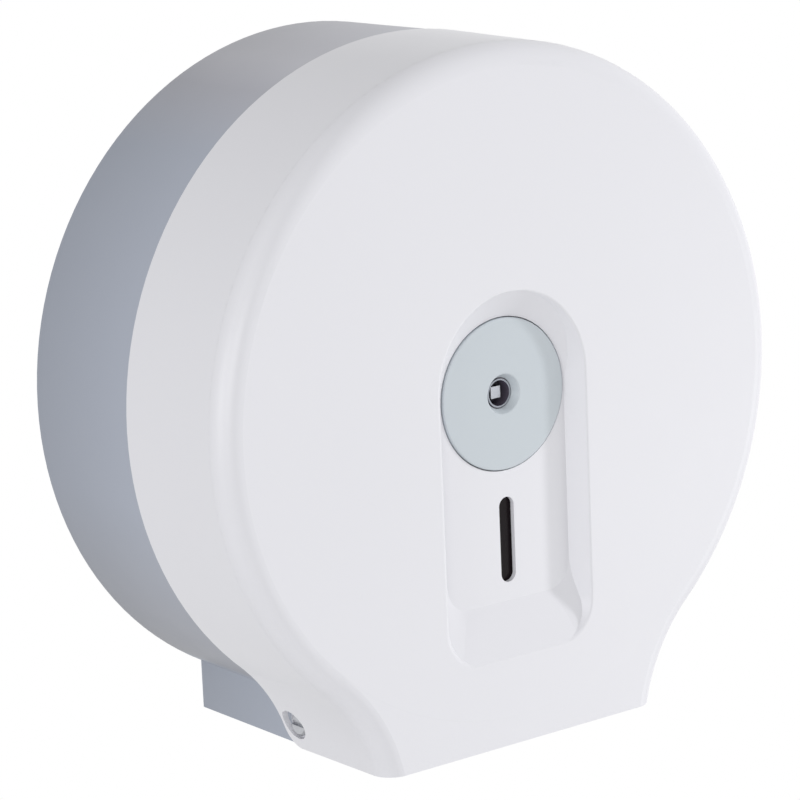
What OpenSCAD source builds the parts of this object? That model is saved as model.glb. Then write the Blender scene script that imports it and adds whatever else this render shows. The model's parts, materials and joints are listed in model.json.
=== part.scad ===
// Jumbo toilet roll dispenser: a grey drum on the wall, a white cover hinged at its foot,
// a turning hub for the roll and a quarter-turn lock in the middle of the cover.
// +X is to the right seen from the front, -Y comes out of the wall and +Z is up.
// The origin lies on the wall face, on the axis of the drum.

/* [Drum] */
// Radius of the cover's rim at the parting line
rim_r = 135; // [125:1:150]
// Distance from the wall to the face of the cover
total_depth = 125; // [118:1:150]
// Distance from the wall to the parting line
housing_depth = 64; // [55:1:70]
// Step from the cover's rim down to the housing's rim
rim_step = 0.4; // [0.2:0.1:1]
// How much smaller the housing is at the wall than at its rim, on the radius
housing_draft = 0.5; // [0.2:0.1:3]
// Wall thickness of the rear housing
housing_wall = 2.3; // [2:0.1:3]
// Thickness of the back plate
back_wall = 2.5; // [2:0.1:4]

/* [Cover] */
// Wall thickness of the cover
cover_wall = 2.3; // [2:0.1:3]
// How much smaller the cover is at its face than at the parting line, on the radius
cover_draft = 1; // [0.4:0.1:2]
// Radius of the rounded edge round the cover's face
face_round = 8.8; // [4:0.2:11]
// Gap between the cover and the housing along the parting line
seam_gap = 0.3; // [0.2:0.05:0.6]
// How far the housing's spigot reaches into the cover
spigot_reach = 5; // [3:0.5:8]
// Thickness of the spigot
spigot_wall = 1.8; // [1.5:0.1:2.5]
// Gap round the spigot
spigot_gap = 0.5; // [0.3:0.1:1]

/* [Foot] */
// Width of the cover's foot at its lower edge
foot_w = 137; // [120:0.2:150]
// How far the foot's lower edge lies below the drum's circle
foot_drop = 1.7; // [1:0.1:8]
// Lean of the foot's flanks from the vertical at the lower edge, in degrees
flank_lean = 13.4; // [10:0.2:22]
// Gap between the cover's flanks and the housing's foot
foot_gap = 0.4; // [0.3:0.1:1]
// Radius of the rounded heel of each flank, where the parting line ends
heel_round = 8; // [3:0.5:9]

/* [Recess] */
// Depth of the recess in the cover's face
recess_depth = 7; // [4:0.1:8]
// Width of the recess at the face
recess_w = 71.6; // [68:0.2:84]
// How far the middle of the recess's arch lies above the drum's axis
arch_rise = 4.6; // [0:0.2:6]
// Distance from the drum's axis down to the lower edge of the recess
recess_drop = 102; // [95:0.5:115]
// Length of the ramp at the foot of the recess
ramp_len = 20.5; // [12:0.5:26]
// Radius of the lower corners of the recess at the face
recess_corner = 16; // [10:0.5:20]
// Run of the sloping wall above the disc, from the disc's pocket towards the top of the arch
arch_run = 10.6; // [8:0.2:14]
// Radius of the lower corners of the recess at its floor
toe_corner = 10.2; // [6:0.2:12]
// How much further than the ramp both lower corners of the recess lean out
corner_extra = 1.5; // [0.5:0.5:5]
// Radius of the rounded lip round the recess
lip_round = 1.5; // [1:0.5:6]
// Width of the flat land between the disc's pocket and the wall of the recess
recess_land = 0.4; // [0.2:0.1:1]
// Wall thickness behind the recess
recess_wall = 2; // [1.6:0.1:2.6]

/* [Window] */
// Width of the window slot
slot_w = 7.2; // [5:0.2:12]
// Length of the window slot
slot_len = 33.8; // [20:0.2:40]
// Distance from the drum's axis down to the middle of the slot
slot_drop = 57.3; // [54:0.1:60]
// Thickness of the window lens
lens_t = 1.6; // [1:0.1:2.5]
// How far the lens reaches past the slot all round
lens_margin = 4; // [2:0.5:4.5]
// Wall of the frame that holds the lens
lens_frame = 1.2; // [1:0.1:2]

/* [Lock] */
// Diameter of the lock disc
disc_d = 59; // [50:0.5:62]
// How deep the lock disc sits in its pocket
disc_t = 3; // [2.8:0.1:4]
// How far the disc stands proud of the recess's floor
disc_proud = 0.7; // [0:0.1:1.2]
// Gap between the disc and the wall of its pocket
disc_gap = 0.5; // [0.3:0.1:0.8]
// Thickness of the pocket's floor
pocket_floor = 2.2; // [1.8:0.1:3]
// Diameter of the key hole through the disc
key_hole_d = 12.2; // [11.6:0.1:14]
// Width of the bevel round the mouth of the key hole
mouth_w = 1.7; // [1:0.1:3]
// Depth of the bevel round the mouth of the key hole
mouth_depth = 3; // [1:0.1:3.2]
// Radius of the rounded edge between the bevel and the face of the disc
mouth_round = 0.8; // [0.2:0.1:1.2]
// Width across the flats of the square drive post
post_w = 4.6; // [3.5:0.1:4.8]
// How far the post's end lies below the face of the disc
post_set = 4.9; // [3.5:0.1:6]
// Outer diameter of the cup round the post
cup_d = 11.2; // [10.4:0.1:11.4]
// Wall of the cup round the post
cup_wall = 0.6; // [0.5:0.1:0.9]
// How far the cup's rim lies below the face of the disc
cup_set = 2.7; // [2.2:0.1:2.9]
// Depth of the cup below the face of the disc
cup_depth = 9.2; // [8:0.1:10]
// Radius of the lock body's flange
lock_flange_r = 16; // [15:0.5:18]
// Thickness of the lock body's flange
lock_flange_t = 2.5; // [2:0.1:3]
// Radius of the lock body's barrel
lock_barrel_r = 8.5; // [8:0.1:9.5]
// Length of the lock body behind the pocket
lock_body_len = 11.2; // [10:0.1:13]
// Radius of the lock core's shaft
core_r = 4; // [3.6:0.1:4.2]
// Width across the flats of the core's tail
tail_w = 4.8; // [4:0.1:5]
// Half length of the tongue
tongue_reach = 12.5; // [11:0.1:13]
// Width of the tongue
tongue_w = 6.4; // [6:0.1:7]
// Thickness of the tongue
tongue_t = 3; // [2.5:0.1:3.5]
// Thickness of the keeper plate
keeper_t = 1.5; // [1.2:0.1:2]
// Radius of the keeper plate
keeper_r = 20; // [19.6:0.1:21]
// Half height of the keeper plate's slot
keeper_slot_half = 5.6; // [5.3:0.1:7]

/* [Spindle and hub] */
// Outer radius of the fixed spindle
spindle_r = 18.5; // [18:0.1:19]
// Inner radius of the spindle's hollow nose
spindle_bore_r = 14.5; // [14:0.1:15]
// Radius of the spindle's flange
spindle_flange_r = 31; // [30:0.5:34]
// Thickness of the spindle's flange
spindle_flange_t = 3; // [2.5:0.1:4]
// Height of the pad that carries the spindle, from the wall
spindle_pad = 7; // [6.5:0.1:9]
// Outer radius of the hub that carries the roll
hub_r = 22; // [21.5:0.1:22.3]
// Radius of the circle that the spindle's screws lie on
spindle_screw_circle = 26.2; // [26:0.1:27]

/* [Hinge] */
// Distance from the parting line forward to the hinge axis
hinge_setback = 7.6; // [7.2:0.1:8.4]
// Height of the hinge axis above the foot's lower edge
hinge_rise = 10.6; // [10:0.1:12]
// Radius of the round well in each flank
hinge_well_r = 6.2; // [5.6:0.1:6.5]
// Radius of the hinge screw's shoulder
hinge_shoulder_r = 2.5; // [2:0.1:2.8]
// Radius of the hinge screw's thread
hinge_thread_r = 1.75; // [1.5:0.05:1.9]
// Width of the slot across the hinge screw's head
hinge_slot = 2; // [1.4:0.1:2.6]
// Thickness of the lug on the housing
lug_t = 4.5; // [3.5:0.1:6]

/* [Paper outlet] */
// Depth of the ledge at the back of the outlet
ledge_depth = 30; // [25:1:40]
// Depth of the return lip at the front of the outlet
front_lip = 6; // [4:0.5:10]
// Thickness of the tear blade
blade_t = 1; // [0.8:0.1:1.5]
// Width of the blade from its back edge to the roots of its teeth
blade_w = 14; // [12:0.5:18]
// Pitch of the teeth
tooth_pitch = 3; // [2:0.5:5]
// Height of the teeth
tooth_h = 3; // [2:0.5:4]

/* [Wall fixing] */
// Distance between the wall screw holes across
fixing_w = 140; // [130:1:150]
// Distance between the wall screw holes up and down
fixing_h = 100; // [90:1:110]
// Diameter of the wall screw holes
fixing_d = 5.5; // [4.5:0.1:6]
// Height of the bosses round the wall screw holes, from the wall
fixing_boss = 6; // [4:0.5:8]

/* [Fits] */
// Radial clearance of a shaft that turns in its bore
running_fit = 0.05; // [0.02:0.01:0.09]
// Gap between faces that move past each other
face_gap = 0.3; // [0.25:0.05:0.5]

/* [Hidden] */
$fn = 96;
big = 400;

// How far a cutting tool runs past what it cuts
over = 1;

// The cover's outline: the rim's circle and a hollow blend on each side down to the foot's
// corner. The blend bites into the circle by a hair and the foot's face lies a hair below the
// round plate's, so that the surfaces truly cross.
blend_bite = 0.04;
face_step = 0.02;
foot_z = -(rim_r + foot_drop);
foot_half = foot_w / 2;
foot_corner = [foot_half, foot_z];
flank_out = [cos(flank_lean), -sin(flank_lean)];
reach_r = rim_r - blend_bite;
blend_r = (foot_corner * foot_corner - reach_r * reach_r) / (2 * (reach_r - foot_corner * flank_out));
blend_c = foot_corner + blend_r * flank_out;

// Depths in the cover, counted from the wall
cover_len = total_depth - housing_depth;
draft_angle = atan(cover_draft / cover_len);
edge_across = -tan(draft_angle) * (cover_len - face_round) - face_round / cos(draft_angle);
edge_up = cover_len - face_round;
floor_d = total_depth - recess_depth;
disc_front = floor_d + disc_proud;
corner_run = ramp_len + corner_extra;
disc_back = floor_d - disc_t;
pocket_back = disc_back - pocket_floor;

// Recess
disc_r = disc_d / 2;
pocket_r = disc_r + disc_gap;
recess_half = recess_w / 2;
recess_toe = pocket_r + recess_land;
wall_run = recess_half - recess_toe;
wall_slope = atan2(recess_depth, wall_run);
pocket_wall = 2.2;
ramp_slope = atan2(recess_depth, ramp_len);

// Lock
snout_step = 0.5;
snout_r = lock_barrel_r - snout_step;
flange_back = pocket_back - lock_flange_t;
body_back = pocket_back - lock_body_len;
cup_floor = disc_front - cup_depth;
cup_r = cup_d / 2;
barrel_wall = 2.2;
chamber_r = lock_barrel_r - barrel_wall;
cup_base = 1.8;
chamber_floor = cup_floor - cup_base;
clip_t = 0.8;
clip_set = 0.4;
clip_d = body_back + clip_set;
clip_groove = 0.5;
clip_r = chamber_r - face_gap;
spring_wire = 0.8;
spring_turns = 3;
spring_r = core_r + spring_wire / 2 + face_gap;
body_screw_circle = 12.3;
body_screw_r = 1.25;
body_screw_grip = 2.2;
keeper_gap = 1.5;
keeper_front = body_back - keeper_gap;
nose_d = keeper_front - keeper_t;
tongue_gap = 0.6;
tongue_front = nose_d - tongue_gap;
tongue_back = tongue_front - tongue_t;
tongue_washer_t = 0.8;
tongue_screw_r = 1.5;
tongue_screw_grip = 7;
core_collar = 0.4;
core_collar_t = 1;
tongue_pass = 1.5;
body_screw_turns = [90, 210, 330];
seat_gap = 0.05;
disc_edge_round = 0.5;
coil_steps = 12;
coil_sides = 6;
lens_gap = 0.15;
lens_frame_h = 2.6;
keeper_screw_circle = (spindle_r + spindle_bore_r) / 2;
keeper_screw_r = 1.2;
keeper_screw_grip = 6;

// Small screws: the head's height and its radius against the shank's, and the cross recess
small_head_h = 1.6;
head_ratio = 1.9;
bevel_ratio = 0.35;
cross_w_ratio = 0.28;
cross_reach_ratio = 0.62;
cross_floor_ratio = 0.45;

// Spindle and hub
washer_t = 1;
brake_t = 0.8;
hub_back = spindle_pad + spindle_flange_t + brake_t + face_gap;
hub_front = nose_d - washer_t - face_gap;
nose_base = 7;
nose_floor = spindle_pad + nose_base;
washer_inset = 0.7;
pad_margin = 1;
hub_chamfer = 1.5;
spindle_screw_r = 1.75;
spindle_screw_grip = 5;
spindle_screw_turns = [45:90:315];

// Rear housing
rib_t = 1.6;
rib_h = 3;
rib_short = 2;
fixing_wall = 4;
spigot_root = 8;
spigot_dip = 15;
fixing_circle = sqrt(pow(fixing_w, 2) + pow(fixing_h, 2)) / 2;

// Hinge and foot
hinge_d = housing_depth + hinge_setback;
hinge_z = foot_z + hinge_rise;
housing_rim_r = rim_r - rim_step;
housing_rear_r = housing_rim_r - housing_draft;
housing_front = housing_depth - seam_gap;
housing_foot_half = foot_half - cover_wall / cos(flank_lean) - foot_gap;
lug_bite = 0.3;
lug_out = housing_foot_half - housing_wall + lug_bite;
lug_root = 22;
spacer_t = 0.7;
boss_in = lug_out + spacer_t + face_gap;
boss_t = 2.6;
well_floor = boss_in + boss_t;
head_gap = 1.2;
hinge_head_r = hinge_well_r - head_gap;
hinge_head_h = 2.4;
hinge_slot_depth = 1.3;
heel_bite = 0.04;

// Paper outlet
ledge_t = 2.5;
blade_gap = 4;
blade_half = housing_foot_half - housing_wall - blade_gap;
blade_screw_spacing = 45;
blade_screw_r = 1.25;
blade_screw_grip = 2.2;
tooth_count = floor(2 * blade_half / tooth_pitch);

// Stands a shape drawn face up, with its height along Z, against the wall.
module against_wall() {
    rotate([90, 0, 0])
        children();
}

// Draws a shape and its mirror image on the other side of the middle.
module both_sides() {
    children();
    mirror([1, 0, 0])
        children();
}

// A round plate or ring between two heights.
module ring(outer, inner, low, high) {
    difference() {
        translate([0, 0, low])
            cylinder(r = outer, h = high - low);
        if (inner > 0)
            translate([0, 0, low - over])
                cylinder(r = inner, h = high - low + 2 * over);
    }
}

// A pan-head screw with a cross recess. Its head stands above the height 0.
module pan_screw(head_r, head_h, shank_r, shank_len) {
    bevel = head_h * bevel_ratio;
    cross_w = head_r * cross_w_ratio;
    cross_reach = head_r * cross_reach_ratio;
    difference() {
        union() {
            cylinder(r = head_r, h = head_h - bevel);
            translate([0, 0, head_h - bevel])
                cylinder(r1 = head_r, r2 = head_r - bevel, h = bevel);
            translate([0, 0, -shank_len])
                cylinder(r = shank_r, h = shank_len);
        }
        for (turn = [0, 90])
            rotate([0, 0, turn])
                translate([-cross_reach, -cross_w / 2, head_h * cross_floor_ratio])
                    cube([2 * cross_reach, cross_w, head_h]);
    }
}

// A small pan-head screw, named by its shank.
module small_screw(shank_r, shank_len) {
    pan_screw(head_ratio * shank_r, small_head_h, shank_r, shank_len);
}

// The three points of a rounded edge where a slope meets a flat face to its right: the end of
// the slope, the middle of the rounding and the start of the face.
function edge_points(corner, slope, r) =
    let (reach = r * tan(slope / 2))
    [
        corner - reach * [cos(slope), sin(slope)],
        corner + [reach, -r],
        corner + [reach, 0]
    ];

// How far the cover's wall lies outside its outline at a height above the parting line.
// Inset moves every surface of the cover inwards.
function wall_across(inset, up) = -tan(draft_angle) * up - inset / cos(draft_angle);

// The round plate of the cover with its rounded edge, in section from the axis outwards.
module drum_section(inset) {
    low = inset > 0 ? -over : 0;
    r = face_round - inset;
    edge = [rim_r + edge_across, edge_up];
    polygon([
        [0, low],
        [rim_r + wall_across(inset, low), low],
        edge + r * [cos(draft_angle), sin(draft_angle)],
        edge,
        [edge[0], cover_len - inset],
        [0, cover_len - inset]
    ]);
    translate(edge)
        circle(r = r);
}

// What the hollow blend takes away, in section from the blend's own axis outwards.
module blend_section(inset) {
    low = -2 * over;
    high = cover_len + 2 * over;
    r = face_round - inset;
    edge = [blend_r - edge_across, edge_up];
    difference() {
        polygon([
            [0, low],
            [blend_r - wall_across(inset, low), low],
            edge + r * [-cos(draft_angle), sin(draft_angle)],
            edge,
            [edge[0], high],
            [0, high]
        ]);
        translate(edge)
            circle(r = r);
    }
}

// The cover's whole form, standing on the parting line and running past the foot's edge.
module cover_form(inset) {
    low = inset > 0 ? -over : 0;
    rotate_extrude()
        drum_section(inset);
    difference() {
        translate([0, 0, low])
            linear_extrude(height = cover_len - inset - low - face_step)
                polygon([[0, 0], blend_c, [-blend_c[0], blend_c[1]]]);
        both_sides()
            translate(blend_c)
                rotate_extrude()
                    blend_section(inset);
    }
}

// Half of the recess in section, from its middle outwards, with the rounding of its lip.
module recess_section() {
    lip = edge_points([recess_half, total_depth], wall_slope, lip_round);
    difference() {
        polygon([
            [0, floor_d],
            [recess_toe, floor_d],
            each lip,
            lip[2] + [0, over],
            [0, total_depth + over]
        ]);
        translate(lip[1])
            circle(r = lip_round);
    }
}

// The same section, thicker all round, for the wall behind the recess.
module recess_back_section(grow) {
    shift = grow * tan(wall_slope / 2);
    polygon([
        [0, floor_d - grow],
        [recess_toe + shift, floor_d - grow],
        [recess_half + shift + grow / tan(wall_slope), total_depth],
        [0, total_depth]
    ]);
}

// The arched recess with its ramp, as a solid tool. Its child is the section, and grow is how
// far the section is thickened.
module recess(grow) {
    arch_low = recess_drop - recess_corner;
    corner_x = recess_half - recess_corner;
    top = total_depth + (grow > 0 ? 0 : over);
    difference() {
        union() {
            translate([0, arch_rise, 0])
                rotate_extrude(angle = 180)
                    children();
            both_sides() {
                translate([0, arch_rise, 0])
                    rotate([90, 0, 0])
                        linear_extrude(height = arch_low + arch_rise)
                            children();
                translate([corner_x, -arch_low, 0])
                    rotate([0, 0, -90])
                        rotate_extrude(angle = 90)
                            intersection() {
                                translate([-corner_x, 0])
                                    children();
                                translate([0, floor_d - grow])
                                    square([big, big]);
                            }
            }
            translate([-corner_x, -recess_drop - grow, floor_d - grow])
                cube([2 * corner_x, recess_corner + grow, top - floor_d + grow]);
        }
        translate([0, -recess_drop, total_depth - grow / cos(ramp_slope)])
            rotate([-ramp_slope, 0, 0])
                translate([-big / 2, -big / 2, -big])
                    cube([big, big, big]);
    }
}

// A cone round an upright of the recess, with a radius at the floor and a run over its depth.
module recess_cone(toe, run) {
    lean = run / recess_depth;
    translate([0, 0, floor_d - over])
        cylinder(
            r1 = toe - lean * over,
            r2 = toe + lean * (recess_depth + 2 * over),
            h = recess_depth + 3 * over
        );
}

// What bounds the recess besides its walls: a wide slope above the disc and in both lower
// corners, and nothing in between.
module recess_bounds() {
    corner_x = recess_half - recess_corner;
    corner_z = toe_corner - (recess_drop - ramp_len);
    recess_cone(pocket_r + recess_land / 2, arch_run);
    translate([-rim_r, corner_z, floor_d - over])
        cube([2 * rim_r, -corner_z, recess_depth + 3 * over]);
    translate([-corner_x, -rim_r, floor_d - over])
        cube([2 * corner_x, rim_r, recess_depth + 3 * over]);
    for (x = [-corner_x, corner_x])
        translate([x, corner_z, 0])
            recess_cone(toe_corner, corner_run);
}

// Everything below the foot's lower edge.
module below_foot() {
    translate([-big / 2, foot_z - big, -big / 2])
        cube(big);
}

// What rounds the heel of both flanks: a square edge less a circle that bites into both faces
// by a hair.
module heel_edge() {
    centre = heel_round - heel_bite;
    translate([-big / 2, foot_z, housing_depth])
        rotate([90, 0, 90])
            linear_extrude(height = big)
                difference() {
                    translate([-over, -over])
                        square(centre + over);
                    translate([centre, centre])
                        circle(r = heel_round);
                }
}

// Runs a shape along the hinge axis on the right-hand side, its height towards +X.
module on_hinge() {
    translate([0, hinge_z, hinge_d])
        rotate([0, 90, 0])
            children();
}

// A bush for the hinge screw, cut off inside the cover's hollow flank.
module hinge_bush() {
    difference() {
        on_hinge()
            translate([0, 0, boss_in])
                cylinder(r = hinge_setback, h = rim_r / 2 - boss_in);
        translate(blend_c)
            cylinder(r = blend_r + cover_wall / 2, h = total_depth);
    }
}

// The wall round the back of the window lens.
module lens_frame_ring() {
    w = slot_w + 2 * (lens_margin + lens_gap + lens_frame);
    h = slot_len + 2 * (lens_margin + lens_gap + lens_frame);
    translate([0, -slot_drop, floor_d - recess_wall - lens_frame_h])
        difference() {
            translate([-w / 2, -h / 2, 0])
                cube([w, h, lens_frame_h + recess_wall / 2]);
            translate([-w / 2 + lens_frame, -h / 2 + lens_frame, -over])
                cube([w - 2 * lens_frame, h - 2 * lens_frame, lens_frame_h + over]);
        }
}

// The window slot, with round ends.
module slot_shape() {
    reach = (slot_len - slot_w) / 2;
    translate([-slot_w / 2, -slot_drop - reach])
        square([slot_w, 2 * reach]);
    for (end = [-reach, reach])
        translate([0, -slot_drop + end])
            circle(d = slot_w);
}

module front_cover() {
    color("whitesmoke")
        against_wall()
            difference() {
                union() {
                    translate([0, 0, housing_depth])
                        difference() {
                            cover_form(0);
                            cover_form(cover_wall);
                        }
                    recess(recess_wall)
                        recess_back_section(recess_wall);
                    ring(pocket_r + pocket_wall, 0, pocket_back, floor_d);
                    lens_frame_ring();
                    both_sides()
                        hinge_bush();
                    translate([-foot_half + face_round, foot_z, total_depth - cover_wall - front_lip])
                        cube([foot_w - 2 * face_round, cover_wall, front_lip + cover_wall / 2]);
                }
                intersection() {
                    recess(0)
                        recess_section();
                    recess_bounds();
                }
                ring(pocket_r, 0, disc_back, total_depth);
                ring(snout_r + seat_gap, 0, pocket_back - over, disc_back + over);
                for (turn = body_screw_turns)
                    rotate([0, 0, turn])
                        translate([body_screw_circle, 0, 0])
                            ring(body_screw_r, 0, pocket_back - over, disc_back + over);
                translate([0, 0, floor_d - recess_wall - over])
                    linear_extrude(height = recess_wall + recess_depth)
                        slot_shape();
                both_sides()
                    on_hinge() {
                        ring(hinge_well_r, 0, well_floor, rim_r);
                        ring(hinge_shoulder_r + running_fit, 0, boss_in - over, well_floor + over);
                    }
                heel_edge();
                below_foot();
            }
}

// The drum wall of the housing, with the spigot that enters the cover.
module drum_wall() {
    spigot_out = rim_r - cover_wall - spigot_gap;
    spigot_in = spigot_out - spigot_wall;
    root_r = housing_rim_r - housing_wall / 2;
    root_d = housing_front - spigot_root;
    rotate_extrude($fn = 240)
        polygon([
            [housing_rear_r - housing_wall, 0],
            [housing_rear_r, 0],
            [housing_rim_r, housing_front],
            [housing_rim_r - housing_wall, housing_front]
        ]);
    rotate([0, 0, -spigot_dip])
        rotate_extrude(angle = 180 + 2 * spigot_dip, $fn = 240)
            polygon([
                [spigot_in, root_d],
                [root_r, root_d],
                [root_r, housing_front],
                [spigot_out, housing_front],
                [spigot_out, housing_front + spigot_reach],
                [spigot_in, housing_front + spigot_reach]
            ]);
}

// The foot of the housing: two upright flanks and the ledge under the outlet.
module housing_foot() {
    flank_high = -sqrt(pow(housing_rear_r, 2) - pow(housing_foot_half, 2)) + housing_wall / 4;
    both_sides()
        translate([housing_foot_half - housing_wall, foot_z, 0])
            cube([housing_wall, flank_high - foot_z, housing_front]);
    translate([-housing_foot_half + over, foot_z, 0])
        cube([2 * (housing_foot_half - over), ledge_t, ledge_depth]);
    both_sides() {
        translate([lug_out - lug_t, hinge_z - hinge_setback, hinge_d - lug_root])
            cube([lug_t, 2 * hinge_setback, lug_root]);
        on_hinge()
            ring(hinge_setback, 0, lug_out - lug_t, lug_out);
    }
}

// The flat back with the ribs, the screw bosses and the pad for the spindle.
module back_plate() {
    linear_extrude(height = back_wall) {
        circle(r = housing_rear_r - housing_wall / 2, $fn = 240);
        translate([-housing_foot_half + over, foot_z])
            square([2 * (housing_foot_half - over), rim_r]);
    }
    ring(spindle_flange_r + pad_margin, 0, 0, spindle_pad);
    for (turn = [0:45:315])
        rotate([0, 0, turn])
            translate([spindle_flange_r, -rib_t / 2, 0])
                cube([rim_r - spindle_flange_r - (turn == 270 ? 0 : rib_short), rib_t, back_wall + rib_h]);
    ring(fixing_circle + rib_t / 2, fixing_circle - rib_t / 2, 0, back_wall + rib_h);
    for (x = [-1, 1], y = [-1, 1])
        translate([x * fixing_w / 2, y * fixing_h / 2, 0])
            ring(fixing_d / 2 + fixing_wall, 0, 0, fixing_boss);
}

module rear_housing() {
    foot_inner = housing_foot_half - housing_wall;
    color("slategray")
        against_wall()
            difference() {
                union() {
                    difference() {
                        drum_wall();
                        translate([-foot_inner, -rim_r - over, back_wall])
                            cube([2 * foot_inner, rim_r / 2, housing_depth + spigot_reach]);
                    }
                    housing_foot();
                    back_plate();
                }
                for (x = [-1, 1], y = [-1, 1])
                    translate([x * fixing_w / 2, y * fixing_h / 2, 0])
                        ring(fixing_d / 2, 0, -over, fixing_boss + over);
                for (turn = spindle_screw_turns)
                    rotate([0, 0, turn])
                        translate([spindle_screw_circle, 0, 0])
                            ring(spindle_screw_r, 0, spindle_pad - spindle_screw_grip, spindle_pad + over);
                both_sides()
                    on_hinge()
                        ring(hinge_thread_r, 0, lug_out - lug_t - over, lug_out + over);
                for (x = [-1, 0, 1])
                    translate([x * blade_screw_spacing, foot_z, ledge_depth - blade_w / 2])
                        rotate([-90, 0, 0])
                            ring(blade_screw_r, 0, -over, ledge_t + over);
            }
}

// Two shoulder screws that the cover swings on. A coin or a broad driver fits their slots.
module hinge_screws() {
    head_seat = well_floor + face_gap;
    head_top = head_seat + hinge_head_h;
    bevel = hinge_head_h * bevel_ratio;
    color("silver")
        against_wall()
            both_sides()
                on_hinge()
                    difference() {
                        union() {
                            ring(hinge_thread_r, 0, lug_out - lug_t, head_seat + bevel);
                            ring(hinge_shoulder_r, 0, lug_out, head_seat + bevel);
                            ring(hinge_head_r, 0, head_seat, head_top - bevel);
                            translate([0, 0, head_top - bevel])
                                cylinder(r1 = hinge_head_r, r2 = hinge_head_r - bevel, h = bevel);
                        }
                        translate([-hinge_well_r, -hinge_slot / 2, head_top - hinge_slot_depth])
                            cube([2 * hinge_well_r, hinge_slot, hinge_slot_depth + over]);
                    }
}

module hinge_spacers() {
    color("white")
        against_wall()
            both_sides()
                on_hinge()
                    ring(hinge_well_r, hinge_shoulder_r, lug_out, lug_out + spacer_t);
}

module window_lens() {
    w = slot_w + 2 * lens_margin;
    h = slot_len + 2 * lens_margin;
    color("dimgray")
        against_wall()
            translate([-w / 2, -slot_drop - h / 2, floor_d - recess_wall - lens_t])
                cube([w, h, lens_t]);
}

// The pale disc round the key hole, with a bevelled mouth.
module lock_disc() {
    key_r = key_hole_d / 2;
    mouth = edge_points([key_r + mouth_w, disc_front], atan2(mouth_depth, mouth_w), mouth_round);
    color("lightsteelblue")
        against_wall()
            difference() {
                rotate_extrude($fn = 180) {
                    polygon([
                        [key_r, disc_back],
                        [disc_r, disc_back],
                        [disc_r, disc_front - disc_edge_round],
                        [disc_r - disc_edge_round, disc_front - disc_edge_round],
                        [disc_r - disc_edge_round, disc_front],
                        mouth[2],
                        mouth[1],
                        mouth[0],
                        [key_r, disc_front - mouth_depth]
                    ]);
                    translate(mouth[1])
                        circle(r = mouth_round);
                    translate([disc_r - disc_edge_round, disc_front - disc_edge_round])
                        circle(r = disc_edge_round);
                }
                for (turn = body_screw_turns)
                    rotate([0, 0, turn])
                        translate([body_screw_circle, 0, 0])
                            ring(body_screw_r, 0, disc_back - over, disc_back + body_screw_grip);
            }
}

// The fixed body behind the disc: a flange, a cup for the key and a barrel for the core.
module lock_body() {
    color("dimgray")
        against_wall()
            difference() {
                union() {
                    ring(lock_flange_r, 0, flange_back, pocket_back);
                    ring(snout_r, 0, flange_back, disc_back);
                    ring(cup_r, 0, flange_back, disc_front - cup_set);
                    ring(lock_barrel_r, 0, body_back, pocket_back);
                }
                ring(cup_r - cup_wall, 0, cup_floor, disc_front);
                ring(core_r + running_fit, 0, chamber_floor - over, cup_floor + over);
                ring(chamber_r, 0, body_back - over, chamber_floor);
                for (turn = body_screw_turns)
                    rotate([0, 0, turn])
                        translate([body_screw_circle, 0, 0])
                            ring(body_screw_r, 0, flange_back - over, pocket_back + over);
            }
}

module lock_body_screws() {
    color("silver")
        against_wall()
            for (turn = body_screw_turns)
                rotate([0, 0, turn])
                    translate([body_screw_circle, 0, flange_back])
                        rotate([180, 0, 0])
                            small_screw(body_screw_r, lock_flange_t + pocket_floor + body_screw_grip);
}

// The turning core: the square post that the key grips, the shaft and a square tail.
module lock_core() {
    collar_low = cup_floor + face_gap;
    color("gainsboro")
        against_wall()
            difference() {
                union() {
                    translate([-post_w / 2, -post_w / 2, collar_low])
                        cube([post_w, post_w, disc_front - post_set - collar_low]);
                    ring(core_r + core_collar, 0, collar_low, collar_low + core_collar_t);
                    ring(core_r, 0, body_back, collar_low);
                    translate([-tail_w / 2, -tail_w / 2, tongue_back])
                        cube([tail_w, tail_w, body_back - tongue_back + over]);
                }
                ring(core_r + over, core_r - clip_groove, clip_d, clip_d + clip_t);
                ring(tongue_screw_r, 0, tongue_back - over, tongue_back + tongue_screw_grip);
            }
}

// One ring of points of the coil, which lies square to the wire.
function coil_ring(angle, rise) = [
    for (side = [0:coil_sides - 1])
        let (
            a = 360 * side / coil_sides,
            out = spring_r + spring_wire / 2 * cos(a)
        )
        [out * cos(angle), out * sin(angle), rise + spring_wire / 2 * sin(a)]
];

// A coil spring round the core, between the clip and the body.
module lock_spring() {
    low = clip_d + clip_t + spring_wire / 2;
    high = chamber_floor - face_gap - spring_wire / 2;
    steps = spring_turns * coil_steps;
    points = [
        for (i = [0:steps])
            each coil_ring(360 * i / coil_steps, low + (high - low) * i / steps)
    ];
    sides = [
        for (i = [0:steps - 1], side = [0:coil_sides - 1])
            let (next = (side + 1) % coil_sides)
            [i * coil_sides + side, (i + 1) * coil_sides + side,
             (i + 1) * coil_sides + next, i * coil_sides + next]
    ];
    start = [for (side = [0:coil_sides - 1]) side];
    finish = [for (side = [coil_sides - 1:-1:0]) steps * coil_sides + side];
    color("silver")
        against_wall()
            polyhedron(points = points, faces = concat(sides, [start], [finish]), convexity = 6);
}

// The open ring that holds the spring on the core.
module core_circlip() {
    color("gray")
        against_wall()
            difference() {
                ring(clip_r, core_r - clip_groove, clip_d, clip_d + clip_t);
                translate([-core_r / 2, 0, clip_d - over])
                    cube([core_r, big, clip_t + 2 * over]);
            }
}

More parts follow.
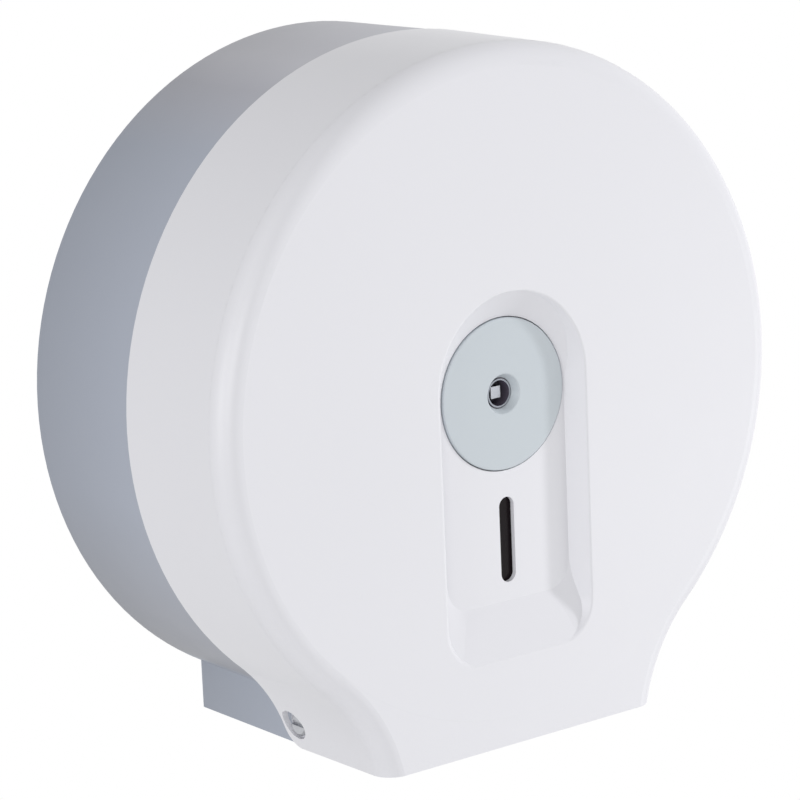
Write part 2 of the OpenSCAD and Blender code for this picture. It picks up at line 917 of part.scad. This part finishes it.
// The bar that turns behind the keeper plate.
module lock_tongue() {
    bar = tongue_reach - tongue_w / 2;
    color("silver")
        against_wall()
            translate([0, 0, tongue_back])
                linear_extrude(height = tongue_t)
                    difference() {
                        union() {
                            square([2 * bar, tongue_w], center = true);
                            for (end = [-bar, bar])
                                translate([end, 0])
                                    circle(d = tongue_w);
                        }
                        square(tail_w, center = true);
                    }
}

module tongue_washer() {
    color("silver")
        against_wall()
            ring(tongue_w / 2, tongue_screw_r, tongue_back - tongue_washer_t, tongue_back);
}

module tongue_screw() {
    color("silver")
        against_wall()
            translate([0, 0, tongue_back - tongue_washer_t])
                rotate([180, 0, 0])
                    small_screw(tongue_screw_r, tongue_washer_t + tongue_screw_grip);
}

// The steel plate on the spindle's nose, with the slot that the tongue passes through.
module keeper_plate() {
    slot_half = tongue_reach + tongue_pass;
    color("silver")
        against_wall()
            difference() {
                ring(keeper_r, 0, nose_d, keeper_front);
                translate([-slot_half, -keeper_slot_half, nose_d - over])
                    cube([2 * slot_half, 2 * keeper_slot_half, keeper_t + 2 * over]);
                for (y = [-1, 1])
                    translate([0, y * keeper_screw_circle, 0])
                        ring(keeper_screw_r, 0, nose_d - over, keeper_front + over);
            }
}

module keeper_screws() {
    color("silver")
        against_wall()
            for (y = [-1, 1])
                translate([0, y * keeper_screw_circle, keeper_front])
                    small_screw(keeper_screw_r, keeper_t + keeper_screw_grip);
}

// The fixed hollow axle of the roll.
module spindle() {
    color("darkgray")
        against_wall()
            difference() {
                union() {
                    ring(spindle_flange_r, 0, spindle_pad, spindle_pad + spindle_flange_t);
                    ring(spindle_r, 0, spindle_pad, nose_d);
                }
                ring(spindle_bore_r, 0, nose_floor, nose_d + over);
                for (turn = spindle_screw_turns)
                    rotate([0, 0, turn])
                        translate([spindle_screw_circle, 0, 0])
                            ring(spindle_screw_r, 0, spindle_pad - over, spindle_pad + spindle_flange_t + over);
                for (y = [-1, 1])
                    translate([0, y * keeper_screw_circle, 0])
                        ring(keeper_screw_r, 0, nose_d - keeper_screw_grip, nose_d + over);
            }
}

module spindle_screws() {
    color("silver")
        against_wall()
            for (turn = spindle_screw_turns)
                rotate([0, 0, turn])
                    translate([spindle_screw_circle, 0, spindle_pad + spindle_flange_t])
                        small_screw(spindle_screw_r, spindle_flange_t + spindle_screw_grip);
}

module brake_washer() {
    low = spindle_pad + spindle_flange_t;
    color("gray")
        against_wall()
            ring(hub_r - washer_inset, spindle_r, low, low + brake_t);
}

// The sleeve that the roll's core sits on. It turns round the spindle.
module roll_hub() {
    color("lightgray")
        against_wall()
            rotate_extrude()
                polygon([
                    [spindle_r + running_fit, hub_back],
                    [hub_r, hub_back],
                    [hub_r, hub_front - hub_chamfer],
                    [hub_r - hub_chamfer, hub_front],
                    [spindle_r + running_fit, hub_front]
                ]);
}

module hub_washer() {
    color("white")
        against_wall()
            ring(hub_r - washer_inset, spindle_r, nose_d - washer_t, nose_d);
}

// The toothed strip that the paper is torn on.
module tear_blade() {
    back = ledge_depth - blade_w;
    start = -tooth_count * tooth_pitch / 2;
    teeth = [
        for (i = [0:tooth_count - 1])
            each [
                [start + i * tooth_pitch, ledge_depth],
                [start + (i + 0.5) * tooth_pitch, ledge_depth + tooth_h]
            ]
    ];
    color("silver")
        against_wall()
            difference() {
                translate([0, foot_z + ledge_t + blade_t, 0])
                    rotate([90, 0, 0])
                        linear_extrude(height = blade_t)
                            polygon(concat(
                                [[-blade_half, back], [-blade_half, ledge_depth]],
                                teeth,
                                [[-start, ledge_depth], [blade_half, ledge_depth], [blade_half, back]]
                            ));
                for (x = [-1, 0, 1])
                    translate([x * blade_screw_spacing, foot_z, ledge_depth - blade_w / 2])
                        rotate([-90, 0, 0])
                            ring(blade_screw_r, 0, 0, ledge_t + blade_t + over);
            }
}

module blade_screws() {
    color("silver")
        against_wall()
            for (x = [-1, 0, 1])
                translate([x * blade_screw_spacing, foot_z + ledge_t + blade_t, ledge_depth - blade_w / 2])
                    rotate([-90, 0, 0])
                        small_screw(blade_screw_r, blade_screw_grip + blade_t);
}

rear_housing();
front_cover();
hinge_screws();
hinge_spacers();
window_lens();
lock_disc();
lock_body();
lock_body_screws();
lock_core();
lock_spring();
core_circlip();
lock_tongue();
tongue_washer();
tongue_screw();
keeper_plate();
keeper_screws();
spindle();
spindle_screws();
brake_washer();
roll_hub();
hub_washer();
tear_blade();
blade_screws();
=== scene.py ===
# %% [markdown]
# # A jumbo toilet roll dispenser in Blender
# The solids of the dispenser come from its construction model: a grey drum on the wall, a
# white cover, a lock, a hub and their screws. This lesson gives them their finishes, a plain
# studio and a camera. Nothing is moved, so every size stays as it was built.

# %% Load the built model
import json
import math
import bpy
from mathutils import Matrix, Vector


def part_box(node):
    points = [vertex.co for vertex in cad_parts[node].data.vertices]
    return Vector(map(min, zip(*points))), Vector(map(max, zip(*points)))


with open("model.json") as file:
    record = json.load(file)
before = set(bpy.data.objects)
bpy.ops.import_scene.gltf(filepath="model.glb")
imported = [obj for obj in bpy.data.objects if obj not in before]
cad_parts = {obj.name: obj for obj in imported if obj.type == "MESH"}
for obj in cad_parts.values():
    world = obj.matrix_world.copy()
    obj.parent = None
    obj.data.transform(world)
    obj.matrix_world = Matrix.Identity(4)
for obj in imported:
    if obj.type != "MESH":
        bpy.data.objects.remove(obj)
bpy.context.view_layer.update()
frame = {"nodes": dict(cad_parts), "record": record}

nodes = frame["nodes"]

# %% [markdown]
# ## Where the camera stands
# The dispenser is seen from its left, a little from above, through a long lens, so that its
# circles stay almost true. A camera can be aimed with a Track To constraint, but here it also
# leans by a few degrees. Building its three axes by hand keeps the lean a plain number.

# %% The camera
AZIMUTH, ELEVATION, LEAN = -37.180, 12.653, -2.414
DISTANCE = 1.316252
LOOK_AT = Vector((-0.004993, -0.060, -0.010404))
LENS_IN_PIXELS = 3344.09
PICTURE_WIDTH = 800
SENSOR_IN_MM = 36
STRAIGHT_UP = Vector((0, 0, 1))

azimuth, elevation, lean = (math.radians(angle) for angle in (AZIMUTH, ELEVATION, LEAN))
back = Vector((math.sin(azimuth) * math.cos(elevation),
               -math.cos(azimuth) * math.cos(elevation),
               math.sin(elevation)))
right = (-back).cross(STRAIGHT_UP).normalized()
up = right.cross(-back)
right, up = (math.cos(lean) * right + math.sin(lean) * up,
             math.cos(lean) * up - math.sin(lean) * right)

camera_data = bpy.data.cameras.new("camera")
camera_data.sensor_width = SENSOR_IN_MM
camera_data.lens = LENS_IN_PIXELS * camera_data.sensor_width / PICTURE_WIDTH
camera = bpy.data.objects.new("camera", camera_data)
camera.matrix_world = (Matrix.Translation(LOOK_AT + DISTANCE * back)
                       @ Matrix((right, up, back)).transposed().to_4x4())
bpy.context.scene.collection.objects.link(camera)
bpy.context.scene.camera = camera
print("lens in mm:", round(camera_data.lens, 1))

# %% [markdown]
# ## Shader maths in Python
# A material is a small graph. Written node by node it hides its own idea, so this class wraps
# one socket and lets `+`, `*` and `1 - mask` add the Math nodes. A line of shading then reads
# as the sum that it is.

# %% A socket that arithmetic works on
class Value:
    def __init__(self, recipe, socket):
        self.recipe = recipe
        self.socket = socket

    def join(self, operation, first, second):
        return self.recipe.node("ShaderNodeMath", {"operation": operation},
                                {0: first, 1: second})

    def __add__(self, other):
        return self.join("ADD", self, other)

    def __mul__(self, other):
        return self.join("MULTIPLY", self, other)

    def __rsub__(self, other):
        return self.join("SUBTRACT", other, self)

    __radd__ = __add__
    __rmul__ = __mul__


print("reflected operators:", [name for name in vars(Value) if name.startswith("__r")])

# %% [markdown]
# ## One recipe per finish
# Every finish here is a Principled surface whose colour, roughness and relief change a little
# from place to place. The recipe below makes any node from its type, its settings and what
# goes into its sockets. Places are read in the object's own metres, so the grain has a real
# size and stays with its piece when the cover opens. A Mix node keeps a set of sockets for
# each kind of data, all under the same names, so the ones for colours go by their numbers.

# %% A recipe for a finish
MIX_SHARE, MIX_FIRST, MIX_SECOND, MIX_RESULT = 0, 6, 7, 2
EVEN = (1, 1, 1)


class Recipe:
    def __init__(self, tree):
        self.tree = tree

    def feed(self, socket, value):
        if isinstance(value, Value):
            self.tree.links.new(value.socket, socket)
        else:
            socket.default_value = value

    def node(self, kind, settings=None, inputs=None, output=0):
        made = self.tree.nodes.new(kind)
        for name, value in (settings or {}).items():
            if name == "stops":
                self.set_stops(made.color_ramp.elements, value)
            else:
                setattr(made, name, value)
        for name, value in (inputs or {}).items():
            self.feed(made.inputs[name], value)
        return None if output is None else Value(self, made.outputs[output])

    def set_stops(self, elements, stops):
        while len(elements) < len(stops):
            elements.new(0.5)
        for element, (position, colour) in zip(elements, stops):
            element.position = position
            element.color = colour

    def place(self, stretch=EVEN):
        where = self.node("ShaderNodeTexCoord", output="Object")
        if stretch == EVEN:
            return where
        return self.node("ShaderNodeMapping", {}, {"Vector": where, "Scale": stretch})

    def coordinate(self, axis):
        return self.node("ShaderNodeSeparateXYZ", {}, {"Vector": self.place()}, axis)

    def noise(self, per_metre, detail=2.0, stretch=EVEN):
        return self.node("ShaderNodeTexNoise", {}, {
            "Vector": self.place(stretch), "Scale": per_metre, "Detail": detail})

    def blend(self, share, first, second, how="MIX"):
        return self.node("ShaderNodeMix", {"data_type": "RGBA", "blend_type": how},
                         {MIX_SHARE: share, MIX_FIRST: first, MIX_SECOND: second}, MIX_RESULT)

    def rise(self, value, start, end):
        """0 at the start and 1 at the end, with an even climb between them."""
        return self.node("ShaderNodeMapRange", {}, {
            "Value": value, "From Min": start, "From Max": end})

    def above(self, value, level, soft=1e-4):
        """0 below the level and 1 above it, with a ramp as wide as soft between them."""
        return self.rise(value, level - soft / 2, level + soft / 2)

    def relief(self, height, depth):
        return self.node("ShaderNodeBump", {}, {
            "Height": height, "Strength": 1.0, "Distance": depth})


def finish(name, constants, make):
    """A Principled finish: constants are set on the shader, and make() gives what varies."""
    material = bpy.data.materials.new(name)
    material.use_nodes = True
    tree = material.node_tree
    tree.nodes.clear()
    recipe = Recipe(tree)
    varied = make(recipe)
    shader = recipe.node("ShaderNodeBsdfPrincipled", {}, {**constants, **varied})
    recipe.node("ShaderNodeOutputMaterial", {}, {"Surface": shader}, output=None)
    return material


print("a recipe can:", [name for name in vars(Recipe) if not name.startswith("_")])

# %% [markdown]
# ## The cover and the disc
# Both are injection-moulded ABS. The cover's mould is polished, so its face is almost even,
# with only the faint ripple of an orange peel in its gloss. The disc's mould is a little
# duller and its ripple finer. A moulding's tone drifts by under two per cent from one side to
# the other, and a wide, weak noise between two near colours gives that without a visible spot.

# %% White cover and pale disc
DRIFT_PER_METRE, DRIFT_DETAIL = 9, 1.0
GLOSS_PER_METRE, GLOSS_DETAIL, GLOSS_RANGE = 60, 3.0, 0.08
ABS = {"IOR": 1.5}


def slow_drift(r):
    return r.noise(DRIFT_PER_METRE, DRIFT_DETAIL)


def patchy_gloss(r, smoothest):
    return smoothest + GLOSS_RANGE * r.noise(GLOSS_PER_METRE, GLOSS_DETAIL)


def moulded(light, dark, smoothest, grain_per_metre, grain_depth):
    def make(r):
        return {
            "Base Color": r.blend(slow_drift(r), light, dark),
            "Roughness": patchy_gloss(r, smoothest),
            "Normal": r.relief(r.noise(grain_per_metre), grain_depth),
        }
    return make


finishes = {
    "white_shell": finish("white_abs", ABS, moulded(
        light=(0.80, 0.80, 0.84, 1), dark=(0.785, 0.785, 0.825, 1),
        smoothest=0.30, grain_per_metre=420, grain_depth=4e-6)),
    "disc_plastic": finish("pale_disc", ABS, moulded(
        light=(0.575, 0.625, 0.665, 1), dark=(0.565, 0.615, 0.655, 1),
        smoothest=0.36, grain_per_metre=900, grain_depth=5e-6)),
}
print("moulded finishes:", sorted(finishes))

# %% [markdown]
# ## The grey drum
# The drum's grey has light and shade painted into it. Painted shade darkens it towards the
# wall, so the tone rises by a quarter from the wall to the parting line. A painted highlight
# makes it palest on top, and painted shade makes it darkest and warmest low on the drum, with
# the foot's flank painted a little lighter. A colour ramp along Z holds these painted tones,
# and a multiply along Y lifts the open edge. The flat back is one even tone, so a distance from
# the drum's axis keeps the ramp off it. The mould is spark-eroded, so the grain is finer than
# the cover's and the gloss duller.

# %% The grey housing
GREY = (0.315, 0.341, 0.403)
LOWEST, HIGHEST = -0.135, 0.135
# Each tone is a height in metres and what it multiplies the grey by. All of them are painted
# light
# and shade: the foot a little lighter, shade low on the drum and a painted highlight on top.
PAINTED_DRUM_LIGHT = [(-0.135, (1.04, 1.04, 1.03)), (-0.113, (1.04, 1.04, 1.03)),
              (-0.108, (0.87, 0.83, 0.79)), (-0.085, (0.91, 0.88, 0.85)),
              (-0.030, (1, 1, 1)), (0.098, (1, 1, 1)), (0.118, (1.12, 1.05, 1.0)),
              (0.127, (1.42, 1.32, 1.22))]
OUTER_WALL, WALL_BLUR = 0.1235, 0.001
# Painted shade: the grey is darkest at the wall and this many times lighter at the open edge.
EDGE_PAINTED_LIGHT, EDGE_DEPTH = 1.25, -0.060
DRIFT_TO_BLACK = 0.03
HOUSING_SMOOTHEST = 0.42
SPARK_PER_METRE, SPARK_DEPTH = 1500, 8e-6
WITHOUT_DEPTH = (1, 0, 1)
BLACK = (0, 0, 0, 1)


def opaque(colour):
    return tuple(colour) + (1,)


def painted_light_by_height(r):
    # Painted light and shade by height: the foot lighter, shade low on the drum, a highlight on
    # top.
    stops = [((height - LOWEST) / (HIGHEST - LOWEST), opaque(g * t for g, t in zip(GREY, painted_tone)))
             for height, painted_tone in PAINTED_DRUM_LIGHT]
    return r.node("ShaderNodeValToRGB", {"stops": stops},
                  {"Fac": r.rise(r.coordinate("Z"), LOWEST, HIGHEST)})


def radius(r):
    """The distance from the drum's axis, which runs along Y."""
    flat = r.node("ShaderNodeVectorMath", {"operation": "MULTIPLY"},
                  {0: r.place(), 1: WITHOUT_DEPTH})
    return r.node("ShaderNodeVectorMath", {"operation": "LENGTH"}, {0: flat}, "Value")


def grey_drum(r):
    outside = r.above(radius(r), OUTER_WALL, WALL_BLUR)
    painted_tone = r.blend(outside, opaque(GREY), painted_light_by_height(r))
    # Painted shade near the wall, lifted to full light at the open edge.
    painted_shade_ramp = r.rise(r.coordinate("Y"), 0.0, EDGE_DEPTH)
    painted_edge_tone = r.blend(painted_shade_ramp, painted_tone, opaque(3 * [EDGE_PAINTED_LIGHT]), "MULTIPLY")
    return {
        "Base Color": r.blend(DRIFT_TO_BLACK * slow_drift(r), painted_edge_tone, BLACK),
        "Roughness": patchy_gloss(r, HOUSING_SMOOTHEST),
        "Normal": r.relief(r.noise(SPARK_PER_METRE), SPARK_DEPTH),
    }


finishes["grey_shell"] = finish("grey_abs", ABS, grey_drum)
print("grey tones along the drum:", len(PAINTED_DRUM_LIGHT))

# %% [markdown]
# ## Plain inner mouldings
# The spindle, the hub and the small washers are never polished. They get the same recipe with
# a wider drift of tone and a stronger grain, because a matt surface shows its relief as a
# softer, broken highlight.

# %% Spindle, hub and nylon
finishes["spindle_plastic"] = finish("spindle_grey", {}, moulded(
    light=(0.34, 0.36, 0.40, 1), dark=(0.31, 0.33, 0.37, 1),
    smoothest=0.5, grain_per_metre=1200, grain_depth=1.2e-5))
finishes["hub_plastic"] = finish("hub_white", {}, moulded(
    light=(0.68, 0.69, 0.72, 1), dark=(0.64, 0.65, 0.68, 1),
    smoothest=0.45, grain_per_metre=1200, grain_depth=1e-5))
finishes["nylon"] = finish("nylon", {}, moulded(
    light=(0.78, 0.77, 0.72, 1), dark=(0.72, 0.71, 0.66, 1),
    smoothest=0.5, grain_per_metre=1600, grain_depth=1e-5))
print("plastics so far:", len(finishes))

# %% [markdown]
# ## Metal
# Zinc-plated screws are bright with fine, cloudy patches. Sheet steel keeps the lines of the
# rolling mill: noise stretched ten to one along X gives them, in the gloss and in the relief.

# %% Screws, sheet and spring wire
METAL = {"Metallic": 1.0}
DARKEST_PATCH = 0.86
SCRATCH_GLOSS, SCRATCH_DEPTH = 0.16, 6e-6
METAL_DETAIL = 3.0
ALONG_THE_MILL = (0.1, 1, 1)


def scaled(colour, factor):
    return opaque(factor * c for c in colour[:3])


def plated(bright, smoothest, clouds_per_metre, lines_per_metre=900, stretch=EVEN):
    def make(r):
        clouds = r.noise(clouds_per_metre, METAL_DETAIL)
        scratches = r.noise(lines_per_metre, METAL_DETAIL, stretch)
        return {
            "Base Color": r.blend(clouds, bright, scaled(bright, DARKEST_PATCH)),
            "Roughness": smoothest + SCRATCH_GLOSS * scratches,
            "Normal": r.relief(scratches, SCRATCH_DEPTH),
        }
    return make


finishes["screw_steel"] = finish("zinc_screw", METAL, plated(
    (0.52, 0.53, 0.56, 1), smoothest=0.24, clouds_per_metre=500))
finishes["plate_steel"] = finish("zinc_sheet", METAL, plated(
    (0.66, 0.66, 0.67, 1), smoothest=0.26, clouds_per_metre=120,
    lines_per_metre=1800, stretch=ALONG_THE_MILL))
finishes["spring_steel"] = finish("spring_wire", METAL, plated(
    (0.50, 0.50, 0.52, 1), smoothest=0.28, clouds_per_metre=700))
print("steels:", [slot for slot in finishes if slot.endswith("steel")])

# %% [markdown]
# ## The lock
# The cup is a black moulding and the post in it a light casting. Only their front faces, the
# cup's rim and the post's square end, keep a light colour. Behind them the colour is painted
# nearly black. On the post this is painted shade deep inside the cup; on the cup it is partly
# its own black and partly painted shade. Both fronts are flat faces at a known depth, so a step
# on the Y coordinate finds them, and the rest stays black.

# %% A light front face with painted shade behind it
FRONT_FACE_DEPTH = 0.00015
CAST_PER_METRE, CAST_DETAIL, CAST_DEPTH = 900, 3.0, 6e-6
PALEST_GRAIN = 1.5
CAST_SMOOTHEST, CAST_GLOSS_RANGE = 0.34, 0.1
FRONT_METALLIC = 0.35


def lit_front_shaded_behind(front, black, bright):
    def make(r):
        # The front face keeps the light colour; behind it the colour is painted dark as shade
        # inside the cup.
        lit_front = 1 - r.above(r.coordinate("Y"), front + FRONT_FACE_DEPTH)
        cast = r.noise(CAST_PER_METRE, CAST_DETAIL)
        grain = r.blend(cast, black, scaled(black, PALEST_GRAIN))
        return {
            "Base Color": r.blend(lit_front, grain, bright),
            "Roughness": CAST_SMOOTHEST + CAST_GLOSS_RANGE * cast,
            "Metallic": FRONT_METALLIC * lit_front,
            "Normal": r.relief(cast, CAST_DEPTH),
        }
    return make


def front_of(node):
    lowest_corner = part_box(node)[0]
    return lowest_corner[1]


# For the post the dark colour is painted shade; for the cup it is partly its own black, partly
# painted shade.
finishes["black_plastic"] = finish("cup_with_painted_shade", ABS, lit_front_shaded_behind(
    front_of("lock_body"), black=(0.085, 0.074, 0.100, 1), bright=(0.30, 0.32, 0.36, 1)))
finishes["post_metal"] = finish("post_with_painted_shade", ABS, lit_front_shaded_behind(
    front_of("lock_core"), black=(0.030, 0.028, 0.040, 1), bright=(0.56, 0.58, 0.63, 1)))
print("fronts in mm:", [round(1000 * front_of(node), 1) for node in ("lock_body", "lock_core")])

# %% [markdown]
# ## Smoked window and felt
# The window is a sheet smoked nearly black. All round it is white, and at the usual specular
# level it would mirror that and look grey, so its level is low. A tenth of the light goes
# through. The brake washer is pressed felt, whose short hairs are a rough, speckled relief.

# %% Window and felt
SMOKED_SHEET = {"IOR": 1.49, "Specular IOR Level": 0.06, "Transmission Weight": 0.1}
finishes["window"] = finish("smoked_sheet", SMOKED_SHEET, moulded(
    light=(0.006, 0.002, 0.004, 1), dark=(0.005, 0.002, 0.003, 1),
    smoothest=0.2, grain_per_metre=300, grain_depth=2e-6))

HAIRS_PER_METRE, HAIRS_DETAIL, HAIRS_DEPTH = 2600, 6.0, 1e-4
FELT_SMOOTHEST, FELT_GLOSS_RANGE = 0.85, 0.1


def pressed_felt(r):
    hairs = r.noise(HAIRS_PER_METRE, HAIRS_DETAIL)
    return {
        "Base Color": r.blend(hairs, (0.05, 0.05, 0.055, 1), (0.16, 0.16, 0.17, 1)),
        "Roughness": FELT_SMOOTHEST + FELT_GLOSS_RANGE * hairs,
        "Normal": r.relief(hairs, HAIRS_DEPTH),
    }


finishes["felt"] = finish("pressed_felt", {"Sheen Weight": 0.3}, pressed_felt)
print("finishes in all:", len(finishes))

# %% [markdown]
# ## Dressing the pieces
# The built model says which slot each piece belongs to, so one loop dresses them all: a slot
# is a kind of finish, and pieces that are made of the same stuff share one. The meshes bring
# their own smooth shading, so nothing about their shape is touched here.

# %% Give every piece its finish
slot_of = {part["node"]: part["material_slot"] for part in frame["record"]["subparts"]}
for name, piece in nodes.items():
    piece.data.materials.clear()
    piece.data.materials.append(finishes[slot_of[name]])
print("dressed:", len(slot_of))

# %% [markdown]
# ## The floor
# The dispenser hangs on a wall, so the floor lies well below it. It is a pale, slightly
# mottled disc that catches the shadow.

# %% A pale floor
FLOOR_RADIUS, FLOOR_CORNERS = 1.1, 128
FLOOR_MIDDLE = (0, -0.2, -0.95)
MOTTLE_PER_METRE, MOTTLE_DETAIL = 4, 3.0
PAINT_SMOOTHEST, PAINT_GLOSS_RANGE, PAINT_PER_METRE = 0.8, 0.1, 20


def painted(r):
    mottle = r.noise(MOTTLE_PER_METRE, MOTTLE_DETAIL)
    return {
        "Base Color": r.blend(mottle, (0.90, 0.90, 0.90, 1), (0.88, 0.88, 0.88, 1)),
        "Roughness": PAINT_SMOOTHEST + PAINT_GLOSS_RANGE * r.noise(PAINT_PER_METRE),
    }


bpy.ops.mesh.primitive_circle_add(vertices=FLOOR_CORNERS, radius=FLOOR_RADIUS,
                                  fill_type="NGON", location=FLOOR_MIDDLE)
floor = bpy.context.object
floor.name = "floor"
floor.data.materials.append(finish("floor_paint", {}, painted))
print("floor radius in m:", FLOOR_RADIUS)

# %% [markdown]
# ## Light
# A white tent would light every side alike, and the recess would vanish in the face round it.
# So the room is only half as bright. Broad lamps on the left bring the side up to a shade below
# the face, one more lifts the lower right, and a small lamp grazes the face from the upper
# right: being small, it draws the edge of the recess's shadow on the ramp. A mirror image of so
# small a lamp would burn a streak into the polished rim, so glossy rays don't see it.

# %% Lamps
MIDDLE = Vector((0, -0.06, 0))
BROAD, FAR = 1.2, 2.4
SMALL, NEAR = 0.2, 2.0


def lamp(name, direction, distance, size, watts):
    data = bpy.data.lights.new(name, "AREA")
    data.shape = "DISK"
    data.size = size
    data.energy = watts
    lit = bpy.data.objects.new(name, data)
    lit.location = MIDDLE + distance * Vector(direction).normalized()
    lit.rotation_euler = (MIDDLE - lit.location).to_track_quat("-Z", "Y").to_euler()
    bpy.context.scene.collection.objects.link(lit)
    return lit


broad_lamps = [
    lamp("left_lamp", (-1, -0.25, 0.05), FAR, BROAD, watts=9.7),
    lamp("front_left_lamp", (-0.7, -0.75, 0.1), FAR, BROAD, watts=11),
    lamp("high_left_lamp", (-0.8, -0.3, 0.6), FAR, BROAD, watts=2),
    lamp("low_right_lamp", (0.8, -0.6, -0.3), FAR, BROAD, watts=7.8),
]
grazing_lamp = lamp("grazing_lamp", (0.87, -0.39, 0.31), NEAR, SMALL, watts=17.8)
grazing_lamp.visible_glossy = False
print("lamps:", [one.name for one in broad_lamps + [grazing_lamp]])

# %% [markdown]
# ## The white surroundings
# The camera, mirrors and glass see plain white round the object, while the light that really
# falls on it is a softer grey. Light Path tells the two kinds of ray apart.

# %% The white room
ROOM_LIGHT, SHOWN_LIGHT = 0.50, 1.0
WHITE = (1, 1, 1, 1)

world = bpy.data.worlds.new("white_room")
bpy.context.scene.world = world
world.use_nodes = True
world.node_tree.nodes.clear()
sky = Recipe(world.node_tree)
by_camera, by_mirror, by_glass = (
    sky.node("ShaderNodeLightPath", output=ray)
    for ray in ("Is Camera Ray", "Is Glossy Ray", "Is Transmission Ray"))
shown = sky.node("ShaderNodeMath", {"operation": "ADD", "use_clamp": True},
                 {0: by_camera + by_mirror, 1: by_glass})
room = sky.node("ShaderNodeBackground", {}, {"Color": WHITE, "Strength": ROOM_LIGHT})
plain = sky.node("ShaderNodeBackground", {}, {"Color": WHITE, "Strength": SHOWN_LIGHT})
mixed = sky.node("ShaderNodeMixShader", {}, {0: shown, 1: room, 2: plain})
sky.node("ShaderNodeOutputWorld", {}, {"Surface": mixed}, output=None)
bpy.context.scene.view_settings.view_transform = "Standard"
print("room light:", ROOM_LIGHT)
